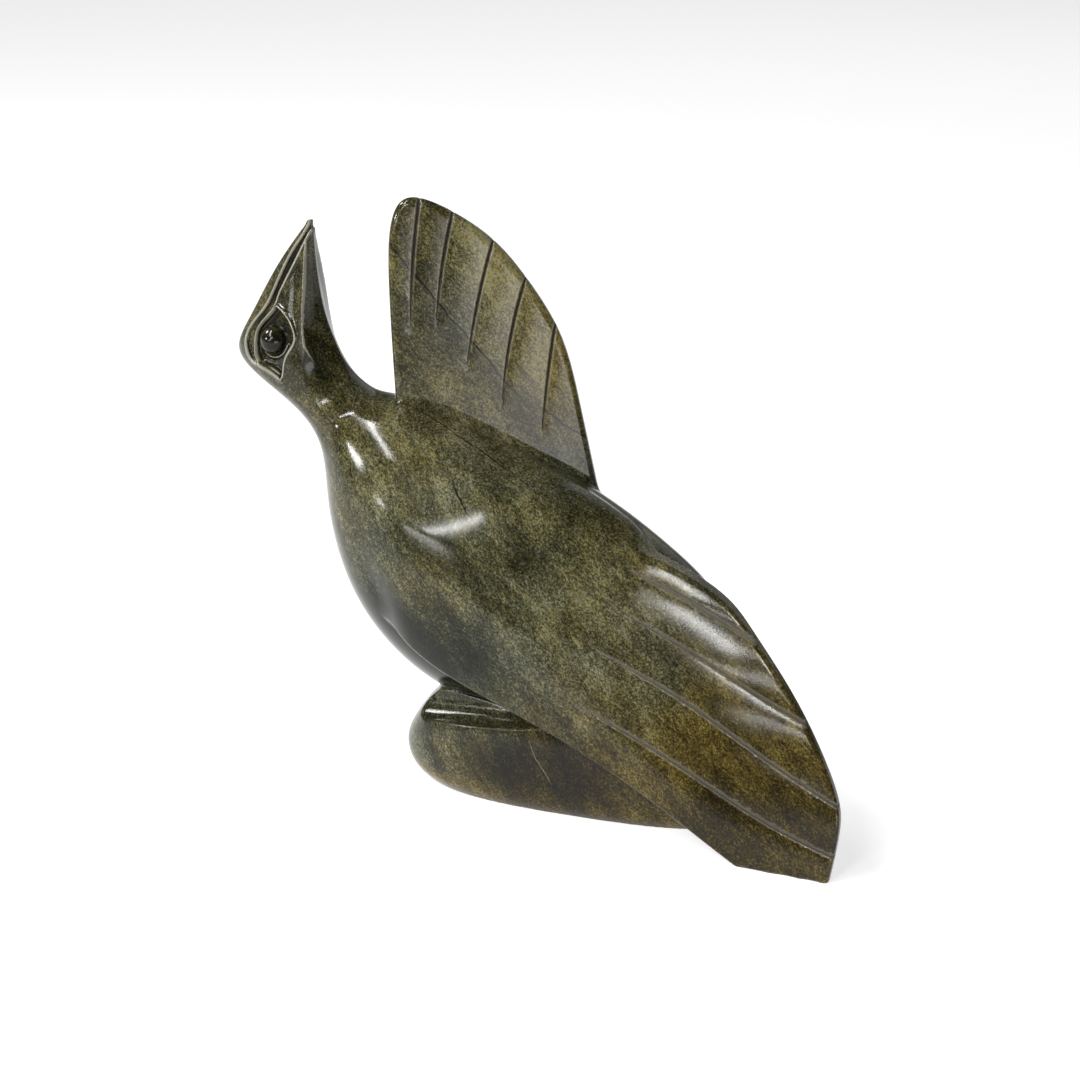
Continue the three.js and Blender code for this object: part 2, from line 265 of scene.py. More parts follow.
def smooth_through(rows, count):
    """A curve with continuous curvature through rows, sampled count times from the first to the last."""
    rows = np.asarray(rows, float)
    last = len(rows) - 1
    matrix = np.eye(last + 1)
    right = np.zeros_like(rows)
    for i in range(1, last):
        matrix[i, i - 1 : i + 2] = 1.0, 4.0, 1.0
        right[i] = 6.0 * (rows[i - 1] - 2.0 * rows[i] + rows[i + 1])
    bend = np.linalg.solve(matrix, right)
    at = np.linspace(0.0, last, count)
    low = np.minimum(at.astype(int), last - 1)
    f = (at - low)[:, None]
    g = 1.0 - f
    cubic = (g**3 - g) * bend[low] + (f**3 - f) * bend[low + 1]
    return rows[low] * g + rows[low + 1] * f + cubic / 6.0


class Plane:
    """A grid of named values over a rectangle, read anywhere through quadratic splines."""

    def __init__(self, low, high, step):
        self.low = np.array(low, float)
        self.step = step
        self.shape = tuple(int(np.ceil((h - l) / step)) + 1 for l, h in zip(low, high))
        axes = [l + step * np.arange(n) for l, n in zip(low, self.shape)]
        self.u, self.v = [a.ravel() for a in np.meshgrid(*axes, indexing="ij")]

    def keep(self, *columns):
        """Store one value of each column at every grid point."""
        self.values = np.stack(columns, -1).reshape(-1, len(columns)).astype(np.float32)

    def read(self, u, v):
        """The stored values at places (u, v), one array for each column."""
        near = []
        weights = []
        for value, low, count in ((u, self.low[0], self.shape[0]), (v, self.low[1], self.shape[1])):
            place = np.clip((value - low) / self.step, 1.0, count - 2.0)
            middle = np.rint(place).astype(np.int64)
            f = (place - middle).astype(np.float32)
            near.append(middle)
            weights.append((0.5 * (0.5 - f) ** 2, 0.75 - f * f, 0.5 * (0.5 + f) ** 2))
        total = 0.0
        for i in (-1, 0, 1):
            for j in (-1, 0, 1):
                cell = (near[0] + i) * self.shape[1] + near[1] + j
                total = total + self.values[cell] * (weights[0][i + 1] * weights[1][j + 1])[:, None]
        return total.T.astype(float)


def locate(rows, u, v, samples=1200, stride=10):
    """Where points (u, v) lie among cuts given by rows of (front u, v, back u, v, ...): each point's
    row values, its share along its cut (0 front, 1 back), the cut's length, its distance past the
    first or the last cut, and its place among the rows."""
    table = smooth_through(rows, samples)
    front = table[:, 0:2]
    span = table[:, 2:4] - front
    length = np.hypot(*span.T)
    best = np.full(len(u), FAR)
    found = np.zeros(len(u))

    def gap_from(i):
        """How far to one side of cut i the points lie."""
        return (span[i, 0] * (v - front[i, 1]) - span[i, 1] * (u - front[i, 0])) / length[i]

    def share_along(i):
        """How far along cut i the points lie."""
        return ((u - front[i, 0]) * span[i, 0] + (v - front[i, 1]) * span[i, 1]) / length[i] ** 2

    for k in range(0, samples - 1, stride):
        n = min(k + stride, samples - 1)
        gap = [gap_from(k), gap_from(n)]
        crosses = gap[0] * gap[1] <= 0
        f = np.where(crosses, gap[0] / (gap[0] - gap[1] + 1e-12), 0.0)
        outside = np.abs(share_along(k) * (1 - f) + share_along(n) * f - 0.5) * length[k]
        better = crosses & (outside < best)
        best = np.where(better, outside, best)
        found = np.where(better, k + f * (n - k), found)
    # a point past both ends takes the nearer end
    middle = (front + span / 2)[[0, -1]]
    reach = [np.hypot(u - m[0], v - m[1]) for m in middle]
    lost = best > FAR / 10
    found = np.where(lost, np.where(reach[0] < reach[1], 0.0, samples - 1.0), found)
    low = np.minimum(found.astype(int), samples - 2)
    f = (found - low)[:, None]
    row = table[low] * (1 - f) + table[low + 1] * f
    cut = row[:, 2:4] - row[:, 0:2]
    long = np.hypot(*cut.T)
    share = ((u - row[:, 0]) * cut[:, 0] + (v - row[:, 1]) * cut[:, 1]) / long**2
    past = np.abs(cut[:, 0] * (v - row[:, 1]) - cut[:, 1] * (u - row[:, 0])) / long
    return row, share, long, np.where(lost, past, 0.0), found / (samples - 1) * (len(rows) - 1)


def polygon_distance(points, u, v):
    """Distance to a polygon's edge, negative inside."""
    points = np.asarray(points, float)
    best = np.full(len(u), FAR)
    inside = np.zeros(len(u), bool)
    for a, b in zip(points, np.roll(points, -1, axis=0)):
        edge = b - a
        if not edge.any():
            continue
        along = np.clip(((u - a[0]) * edge[0] + (v - a[1]) * edge[1]) / (edge @ edge), 0.0, 1.0)
        best = np.minimum(best, (u - a[0] - along * edge[0]) ** 2 + (v - a[1] - along * edge[1]) ** 2)
        spans = (a[1] > v) != (b[1] > v)
        rise = edge[1] if abs(edge[1]) > TINY else TINY
        inside ^= spans & (u < a[0] + (v - a[1]) * edge[0] / rise)
    best = np.sqrt(best)
    return np.where(inside, -best, best)


def line_distance(points, u, v):
    """Distance to an open line of straight pieces, and how far along it the nearest point is (0 to 1)."""
    points = np.asarray(points, float)
    best = np.full(len(u), FAR)
    where = np.zeros(len(u))
    start = 0.0
    for a, b in zip(points[:-1], points[1:]):
        edge = b - a
        size = np.hypot(*edge)
        along = np.clip(((u - a[0]) * edge[0] + (v - a[1]) * edge[1]) / size**2, 0.0, 1.0)
        gap = np.hypot(u - a[0] - along * edge[0], v - a[1] - along * edge[1])
        where = np.where(gap < best, start + along * size, where)
        best = np.minimum(best, gap)
        start += size
    return best, where / start


# ---- feathers ----

CUT_DEPTH = 1.6
CUT_HALF_WIDTH = 1.0
# A cut's depth and width where it starts, as shares of what they grow to.
CUT_START_DEPTH = 0.3
CUT_START_WIDTH = 0.45
CUT_START_STEEPNESS = 12.0
# Share of a cut's length over which it grows.
LEFT_CUT_GROWTH = 0.4
RIGHT_CUT_GROWTH = 0.7
ROLL_REACH = 4.5


def cut_opening(offset, grown):
    """Share of a cut's depth at offset from its line, where the cut has opened by grown (0 to 1)."""
    width = CUT_HALF_WIDTH * (CUT_START_WIDTH + (1.0 - CUT_START_WIDTH) * grown)
    begun = np.clip(grown * CUT_START_STEEPNESS, 0.0, 1.0)
    return np.clip(1.0 - np.abs(offset) / width, 0.0, 1.0) * begun


def cut_relief(offset, grown, roll_before, roll_behind):
    """Depth of one feather cut and of the stone rolling down to it. offset is the signed distance
    past the cut's line, grown how far the cut has opened there (0 to 1)."""
    depth = CUT_DEPTH * (CUT_START_DEPTH + (1.0 - CUT_START_DEPTH) * grown)
    roll = np.where(offset < 0, roll_before, roll_behind) * np.exp(-np.abs(offset) / ROLL_REACH)
    return depth * cut_opening(offset, grown) + roll * grown


def bowed(start, end, bow, f):
    """From start to end at share f of the way, bowed out in the middle."""
    return start + (end - start) * f + bow * 4 * f * (1 - f)


def left_cuts(at, across, rib):
    """For each cut of the folded wing, at a place on it: the offset past the cut's line, how far the
    cut has opened, and the roll on both sides."""
    for (start, s0), (end, s1), bow, before, behind in LEFT_CUTS:
        f = (at - start) / (end - start)
        yield (across - bowed(s0, s1, bow, f)) * rib, ease(f / LEFT_CUT_GROWTH), before, behind


def right_cuts(s, z):
    """The same for each cut of the raised wing."""
    for (s0, z0), (s1, z1), bow, before, behind in RIGHT_CUTS:
        f = (z - z0) / (z1 - z0)
        yield s - bowed(s0, s1, bow, f), ease(f / RIGHT_CUT_GROWTH), before, behind


def total_relief(cuts):
    """Depth of all of a wing's cuts together."""
    return sum(cut_relief(*cut) for cut in cuts)


# ---- maps over the bird's side plane ----

# Each map's lowest and highest corner, and its step (mm).
SIDE = Plane((-176.0, -14.0), (186.0, 292.0), 1.0)
HEAD = Plane((-162.0, 184.0), (-96.0, 274.0), 0.3)
RIGHT = Plane((-92.0, 108.0), (46.0, 296.0), 0.5)


def side_maps():
    """The body's and the folded wing's cuts, seen from the side."""
    x, z = SIDE.u, SIDE.v
    row, share, long, past, _ = locate(BODY, x, z)
    half, widest, power_front, power_back = row[:, 4:8].T
    t = (share - widest) * long
    wing, across, rib, _, at = locate(LEFT_WING, x, z)
    top_y, low_y, swell, thick = wing[:, 4:8].T
    # past its edges the leaf curves on at half the rate
    hump = np.where((across > 0) & (across < 1), 1.0, 0.5)
    outer = top_y + (low_y - top_y) * across - swell * 4 * across * (1 - across) * hump
    depth, start, length = FRONT_SINK
    outer = outer + depth * fade_from(x, start, length)
    depth, start, length = SHOULDER_SINK
    outer = outer + depth * fade_from(x, start, length) * fade_from(across, *SHOULDER_SINK_ACROSS)
    rim = smooth_through(LEFT_RIM, 60)
    outline = np.vstack([LEFT_OUTLINE_BELOW, rim, LEFT_OUTLINE_ABOVE])
    edge = polygon_distance(outline, x, z)
    edge = np.maximum(edge, (across - 1.0) * rib * 0.95)
    valley = line_distance(smooth_through(SHOULDER_VALLEY, 60), x, z)[0]
    body = (t, long * widest, long * (1 - widest), half, power_front, power_back, past)
    SIDE.keep(*body, outer, thick, edge, across, rib, at, valley)


def head_maps():
    """Depth carved into the side of the head: mouth, lids, socket and crest."""
    x, z = HEAD.u, HEAD.v
    front = smooth_through(MOUTH_FRONT, 60)
    mouth_back = smooth_through(MOUTH_BACK, 30)
    lid_back = smooth_through(LID_BACK, 40)
    lid_front = smooth_through(LID_FRONT, 40)
    channel = polygon_distance(np.vstack([front, lid_back[::-1], mouth_back[::-1]]), x, z)
    socket = polygon_distance(np.vstack([lid_front, lid_back[::-1]]), x, z)
    crest, along = line_distance(smooth_through(CREST, 50), x, z)
    depth = MOUTH_DEPTH * ease(-channel / MOUTH_REACH) - ridge(channel - LIP_PLACE, LIP_HEIGHT, LIP_REACH)
    # the lid between mouth line and socket rises back to a sharp ridge
    lid = line_distance(lid_front, x, z)[0]
    depth = depth - ridge(lid, LID_HEIGHT, LID_REACH) * (channel < 0)
    depth = depth + SOCKET_DEPTH * ease((-socket - SOCKET_PLACE) / SOCKET_REACH)
    # a ring runs round the eye, below and behind it
    ring = np.hypot(x - EYE[0], z - EYE[1])
    low_side = ease((EYE[1] + 3.0 - z - 0.25 * (x - EYE[0])) / 5.0)
    depth = depth - ridge(ring - RING_RADIUS, RING_HEIGHT, RING_REACH) * low_side
    # the crest is a ridge with a hollow cheek beside it
    fade = ease(along / CREST_FADES[0]) * ease((1.0 - along) / CREST_FADES[1])
    cheek = CHEEK_DEPTH * fade * bell((crest - CHEEK_PLACE) / CHEEK_REACH)
    cheek = cheek * ease(channel / CHEEK_FROM_MOUTH)
    depth = depth - ridge(crest, CREST_HEIGHT, CREST_REACH) * fade + cheek
    HEAD.keep(depth)


def right_maps():
    """Distance to the raised wing's outline, in its own plane."""
    s, z = RIGHT.u, RIGHT.v
    outline = np.vstack([[RIGHT_FOOT], smooth_through(RIGHT_LEADING + RIGHT_TRAILING, 120)])
    RIGHT.keep(polygon_distance(outline, s, z))


side_maps()
head_maps()
right_maps()


# ---- distances to the stone's parts, negative inside ----

ROCK_TABLE = smooth_through(ROCK, 200)
# Least slope that a part's formula may have, against its size, and the rounding of its ends.
LEAST_SLOPE = 0.3
END_ROUNDING = 2.0


def body_distance(x, y, z, side):
    """Beak, head, neck, body and tail."""
    t, front_reach, back_reach, half, power_front, power_back, past = side[:7]
    ahead = t < 0
    reach = np.where(ahead, front_reach, back_reach)
    power = np.where(ahead, power_front, power_back)
    a = np.abs(t) / reach
    b = np.abs(y) / half
    value = (a**power + b**power + TINY) ** (1 / power)
    slope_t = a ** (power - 1) / reach
    slope_y = b ** (power - 1) / half
    slope = np.hypot(slope_t, slope_y) / value ** (power - 1)
    size = np.minimum(reach, half)
    distance = np.maximum((value - 1) / np.maximum(slope, LEAST_SLOPE / size), -size)
    # the relief lies on the sides of the head, not across its front and back
    on_side = ease(b * 4 - 1) * (x < RELIEF_BACK) * (z > RELIEF_LOW)
    distance = distance + HEAD.read(x, z)[0] * on_side
    rounded = np.hypot(np.maximum(distance + END_ROUNDING, 0), past) - END_ROUNDING
    return np.where(past > 0, rounded, distance)


def left_wing_distance(y, side):
    """The folded wing."""
    outer, thick, edge, across, rib, at = side[7:13]
    relief = total_relief(left_cuts(at, across, rib))
    leaf = np.maximum(outer + relief - y, y - outer - thick) * LEFT_FACE_SLOPE
    return blend_max(leaf, edge, LEFT_RIM_ROUNDING)


def in_right_plane(x, y):
    """Along the raised wing, and out from the bird's middle across it."""
    s = x * np.cos(RIGHT_TURN) + y * np.sin(RIGHT_TURN)
    n = y * np.cos(RIGHT_TURN) - x * np.sin(RIGHT_TURN)
    return s, n


def right_wing_distance(x, y, z):
    """The raised wing."""
    s, n = in_right_plane(x, y)
    edge = RIGHT.read(s, z)[0]
    relief = total_relief(right_cuts(s, z))
    rise = z - RIGHT_ROOT_Z
    thick = np.clip(RIGHT_ROOT_THICK - RIGHT_THIN * rise, *RIGHT_THICK_RANGE)
    centre = RIGHT_OFFSET + RIGHT_LEAN * rise
    near = centre - thick / 2 + relief - n
    far = n - centre - thick / 2 + REAR_CUT_SHARE * relief
    return blend_max(np.maximum(near, far), edge, RIGHT_RIM_ROUNDING)


def rock_distance(x, y, z):
    """The rock, with its hollow."""
    front, rear, left, right = [np.interp(z, ROCK_TABLE[:, 0], ROCK_TABLE[:, k]) for k in (1, 2, 3, 4)]
    a = (x - (front + rear) / 2) / ((rear - front) / 2)
    b = (y - (left + right) / 2) / ((right - left) / 2)
    value = (np.abs(a) ** ROCK_POWER + np.abs(b) ** ROCK_POWER + TINY) ** (1 / ROCK_POWER)
    side = (value - 1) * (right - left) / 2 * ROCK_SIDE_SLOPE
    rock = blend_max(side, z - ROCK_TOP, ROCK_ROUNDING)
    start = np.array(HOLLOW_START)
    along = np.array(HOLLOW_END) - start
    offset = np.stack([x, y, z], -1) - start
    share = offset @ along / (along @ along)
    hollow = HOLLOW_RADIUS - np.linalg.norm(offset - share[:, None] * along, axis=1)
    return blend_max(rock, hollow, HOLLOW_ROUNDING)


def eye_distance(x, y, z):
    """Both eyeballs."""
    ball = np.sqrt((x - EYE[0]) ** 2 + (np.abs(y) - EYE_CENTRE_Y) ** 2 + (z - EYE[1]) ** 2)
    return ball - EYE_RADIUS


def wing_blend(x, across):
    """How softly the folded wing runs into the body."""
    soft = SHOULDER_BLEND * fade_from(across, *SHOULDER_BLEND_ACROSS)
    soft = soft * (1.0 - TAIL_HARDENING * rise_from(x, *SHOULDER_BLEND_TAIL))
    return SEAM_BLEND + soft * rise_from(x, *SHOULDER_BLEND_THROAT)


def stone_distance(p):
    """Distance from points (x, y, z) to the whole carving."""
    x, y, z = p.T
    side = SIDE.read(x, z)
    across = side[10]
    valley = side[13]
    body = body_distance(x, y, z, side)
    body = body + VALLEY_DEPTH * bell(valley / VALLEY_REACH)
    wing = left_wing_distance(y, side)
    bird = blend_min(body, wing, wing_blend(x, across))
    bird = np.minimum(bird, eye_distance(x, y, z))
    bird = blend_min(bird, right_wing_distance(x, y, z), RIGHT_BLEND)
    bird = blend_min(bird, rock_distance(x, y, z), ROCK_BLEND)
    return np.maximum(bird, -z)


# A point counts as on a wing this near its outer face, this near its outline, and for the raised
# wing from this height up and this far out from the bird's middle.
NEAR_FACE = 4.0
NEAR_OUTLINE = 3.0
RAISED_FROM_Z = 165.0
RAISED_FROM_N = 8.0


def cut_share(p):
    """How deep in a feather cut each surface point lies, from 0 outside to 1 at the bottom."""
    x, y, z = p.T
    side = SIDE.read(x, z)
    outer, _, edge, across, rib, at = side[7:13]
    deepest = np.zeros(len(p))
    on_folded = (np.abs(y - outer) < NEAR_FACE) & (edge < NEAR_OUTLINE)
    for offset, grown, _, _ in left_cuts(at, across, rib):
        deepest = np.maximum(deepest, cut_opening(offset, grown) * on_folded)
    s, n = in_right_plane(x, y)
    on_raised = (z > RAISED_FROM_Z) & (RIGHT.read(s, z)[0] < NEAR_OUTLINE) & (n > RAISED_FROM_N)
    for offset, grown, _, _ in right_cuts(s, z):
        deepest = np.maximum(deepest, cut_opening(offset, grown) * on_raised)
    return deepest


# ---- turning the shape into a mesh ----

# Points are worked out this many at a time.
BATCH = 400000
# Rounds of filling pinches, and the distance that a filled place gets.
PINCH_ROUNDS = 6
JUST_INSIDE = -0.02


def finer_between(whole, step, fine, fine_step, coarse):
    """Grid lines over whole (low, high) at step, closer together (fine_step) over fine (low, high),
    in groups of coarse steps."""
    lines = [whole[0]]
    while lines[-1] < whole[1]:
        close = fine[0] - coarse * step < lines[-1] < fine[1]
        size = fine_step if close else step
        lines.extend(lines[-1] + size * np.arange(1, coarse + 1))
    return np.array(lines)


def all_of(axes):
    """Every grid point of axes, as rows (x, y, z)."""
    return np.stack(np.meshgrid(*axes, indexing="ij"), -1).reshape(-1, 3)


def fine_grid(distance, axes, coarse):
    """distance on the grid of axes, in full only near the surface; far away it keeps a rough value
    from every coarse-th grid line."""
    rough_axes = [a[::coarse] for a in axes]
    points = all_of(rough_axes)
    rough = distance(points).reshape([len(a) for a in rough_axes])
    reach = 1.2 * max(np.diff(a).max() for a in rough_axes)
    close = np.abs(rough) < reach
    sign = rough < 0
    near = np.zeros(tuple(n - 1 for n in rough.shape), bool)
    for corner in np.ndindex(2, 2, 2):
        part = tuple(slice(d, d + n) for d, n in zip(corner, near.shape))
        near |= close[part] | (sign[part] != sign[:-1, :-1, :-1])
    fine = rough[:-1, :-1, :-1]
    for axis in range(3):
        fine = np.repeat(fine, coarse, axis)
    fine = fine.astype(np.float32)
    inner = all_of([np.arange(coarse)] * 3)
    cells = np.argwhere(near)
    for part in np.array_split(cells, max(1, len(cells) * coarse**3 // BATCH)):
        index = (part[:, None, :] * coarse + inner[None]).reshape(-1, 3)
        fine[tuple(index.T)] = distance(np.stack([a[i] for a, i in zip(axes, index.T)], -1))
    return fine


def fill_pinches(grid):
    """Where two sheets of surface would meet in one cell's edge, the stone between them is filled."""
    for _ in range(PINCH_ROUNDS):
        changed = 0
        for axis in range(3):
            g = np.moveaxis(grid, axis, 0)
            inside = g < 0
            a, b, c, d = inside[:, :-1, :-1], inside[:, 1:, :-1], inside[:, 1:, 1:], inside[:, :-1, 1:]
            pinched = (a == c) & (b == d) & (a != b)
            for k, i, j in np.argwhere(pinched):
                corners = [(k, i, j), (k, i + 1, j), (k, i + 1, j + 1), (k, i, j + 1)]
                outer = [p for p in corners if g[p] >= 0]
                if len(outer) == 2:
                    g[min(outer, key=lambda p: g[p])] = JUST_INSIDE
                    changed += 1
        if not changed:
            break
    return grid


def shifted(cells, axes, first, second):
    """Cells moved by first and second along two axes."""
    moved = cells.copy()
    moved[:, axes[0]] += first
    moved[:, axes[1]] += second
    return moved


def surface_nets(grid, axes):
    """Quads of the zero surface of a grid of distances: one vertex in each crossed cell."""
    inside = grid < 0
    count = np.zeros(tuple(n - 1 for n in grid.shape), np.int8)
    for corner in np.ndindex(2, 2, 2):
        count += inside[tuple(slice(d, d + n) for d, n in zip(corner, count.shape))]
    cells = np.argwhere((count > 0) & (count < 8))
    total = np.zeros((len(cells), 3))
    hits = np.zeros(len(cells))
    for axis in range(3):
        others = [k for k in range(3) if k != axis]
        for da, db in np.ndindex(2, 2):
            a = shifted(cells, others, da, db)
            b = a.copy()
            b[:, axis] += 1
            fa = grid[tuple(a.T)].astype(float)
            fb = grid[tuple(b.T)].astype(float)
            crosses = (fa < 0) != (fb < 0)
            share = np.where(crosses, fa / np.where(crosses, fa - fb, 1.0), 0.0)
            point = a.astype(float)
            point[:, axis] += share
            total += point * crosses[:, None]
            hits += crosses
    place = total / hits[:, None]
    vertices = np.stack([np.interp(p, np.arange(len(a)), a) for p, a in zip(place.T, axes)], -1)
    number = np.full(count.shape, -1, np.int32)
    number[tuple(cells.T)] = np.arange(len(cells))
    quads = []
    for axis in range(3):
        others = [(axis + 1) % 3, (axis + 2) % 3]
        a = np.argwhere(np.diff(inside.astype(np.int8), axis=axis) != 0)
        for other in others:
            a = a[(a[:, other] > 0) & (a[:, other] < count.shape[other])]
        corner = []
        for da, db in ((1, 1), (0, 1), (0, 0), (1, 0)):
            corner.append(number[tuple(shifted(a, others, -da, -db).T)])
        quad = np.stack(corner, 1)
        outward = inside[tuple(a.T)]
        quad[~outward] = quad[~outward][:, ::-1]
        quads.append(quad)
    return vertices, np.vstack(quads)


LEAST_SLOPE_SQUARED = 0.05


def slope(distance, points, step=0.3):
    """The distance's gradient by central differences."""
    result = np.empty_like(points)
    for axis, shift in enumerate(step * np.eye(3)):
        result[:, axis] = (distance(points + shift) - distance(points - shift)) / (2 * step)
    return result


def settle(distance, points, rounds, most):
    """Moves points onto the surface, each by at most most."""
    start = points.copy()
    for _ in range(rounds):
        g = slope(distance, points)
        size = np.maximum((g**2).sum(1), LEAST_SLOPE_SQUARED)
        points = points - g * (distance(points) / size)[:, None]
        away = points - start
        far = np.linalg.norm(away, axis=1)
        points = start + away * np.minimum(1.0, most / np.maximum(far, TINY))[:, None]
    return points


# ---- the carved piece ----


def show(thing):
    """Put an object in the scene."""
    bpy.context.scene.collection.objects.link(thing)


MOST_TRIANGLES = 195000
# The grid that the surface is found on: lowest and highest X, Y and Z, where it is finer round the
# head, its two steps, and how many steps make a group (mm).
GRID_X = (-160.0, 170.0)
GRID_Y = (-77.0, 50.0)
GRID_Z = (-1.5, 284.0)
HEAD_X = (-158.0, -104.0)
HEAD_Z = (188.0, 266.0)
STEP = 0.7
FINE_STEP = 0.4
GROUP = 4
# How far the thinned-out mesh's points may move back onto the surface.
MOST_SETTLING = 0.3


def carved_mesh():
    """The carving as vertices (mm), triangles, surface normals, and each vertex's share in a feather
    cut and its edge sharpness."""
    axes = [
        finer_between(GRID_X, STEP, HEAD_X, FINE_STEP, GROUP),
        finer_between(GRID_Y, STEP, GRID_Y, STEP, GROUP),
        finer_between(GRID_Z, STEP, HEAD_Z, FINE_STEP, GROUP),
    ]
    grid = fill_pinches(fine_grid(stone_distance, axes, GROUP))
    vertices, quads = surface_nets(grid, axes)
    vertices = settle(stone_distance, vertices, 1, 0.5 * FINE_STEP)
    mesh = bpy.data.meshes.new("rough_carving")
    mesh.from_pydata(vertices, [], quads.tolist())
    rough = bpy.data.objects.new("rough_carving", mesh)
    show(rough)
    triangles = 2 * len(quads)
    if triangles > MOST_TRIANGLES:
        fewer = rough.modifiers.new("fewer", "DECIMATE")
        fewer.ratio = MOST_TRIANGLES / triangles
    graph = bpy.context.evaluated_depsgraph_get()
    made = rough.evaluated_get(graph).to_mesh()
    made.calc_loop_triangles()
    points = np.empty(len(made.vertices) * 3)
    made.vertices.foreach_get("co", points)
    faces = np.empty(len(made.loop_triangles) * 3, np.int32)
    made.loop_triangles.foreach_get("vertices", faces)
    bpy.data.objects.remove(rough)
    bpy.data.meshes.remove(mesh)
    points = settle(stone_distance, points.reshape(-1, 3), 2, MOST_SETTLING)
    normals = slope(stone_distance, points)
    normals /= np.linalg.norm(normals, axis=1)[:, None] + TINY
    return points, faces.reshape(-1, 3), normals, cut_share(points), edge_sharpness(points)


def edge_sharpness(points, step=0.7):
    """How sharply the surface bends (per mm): above 0 on edges, below 0 in grooves."""
    total = -6.0 * stone_distance(points)
    for shift in step * np.eye(3):
        total = total + stone_distance(points + shift) + stone_distance(points - shift)
    return np.clip(total / step**2, -2.0, 2.0)


def place_in_row_frame(points):
    """Millimetres of the carving's own axes to metres of the row frame, centred on the CAD box."""
    low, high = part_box(CAD_NODE)
    centre = points.min(0) / 2 + points.max(0) / 2
    target = (np.array(low) + np.array(high)) / 2
    moved = (points - centre) * MM
    moved[:, :2] += target[:2]
    moved[:, 2] = points[:, 2] * MM + low[2]
    return moved


def make_bird(material):
    """The one piece, which stands for the CAD solid."""
    points, faces, normals, unpolished, sharpness = carved_mesh()
    placed = place_in_row_frame(points)
    mesh = bpy.data.meshes.new("carved_bird")
    mesh.from_pydata(placed, [], faces.tolist())
    mesh.validate()
    mesh.shade_smooth()
    mesh.normals_split_custom_set_from_vertices(normals.tolist())
    for name, values in (("unpolished", unpolished), ("sharpness", sharpness)):
        kept = mesh.attributes.new(name, "FLOAT", "POINT")
        kept.data.foreach_set("value", values.astype(np.float32))
    mesh.materials.append(material)
    piece = bpy.data.objects.new("carved_bird", mesh)
    show(piece)
    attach(piece, BODY_NAME)
    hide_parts(CAD_NODE)
    return piece


# ---- materials ----


def fill(node, values):
    """Set a node's inputs, by name or number."""
    for name, value in values.items():
        node.inputs[name].default_value = value


def set_stops(ramp, stops):
    """Give a colour ramp its stops, as (position, colour) pairs."""
    while len(ramp.elements) < len(stops):
        ramp.elements.new(0.5)
    for element, (position, colour) in zip(ramp.elements, stops):
        element.position = position
        element.color = (*colour, 1.0)


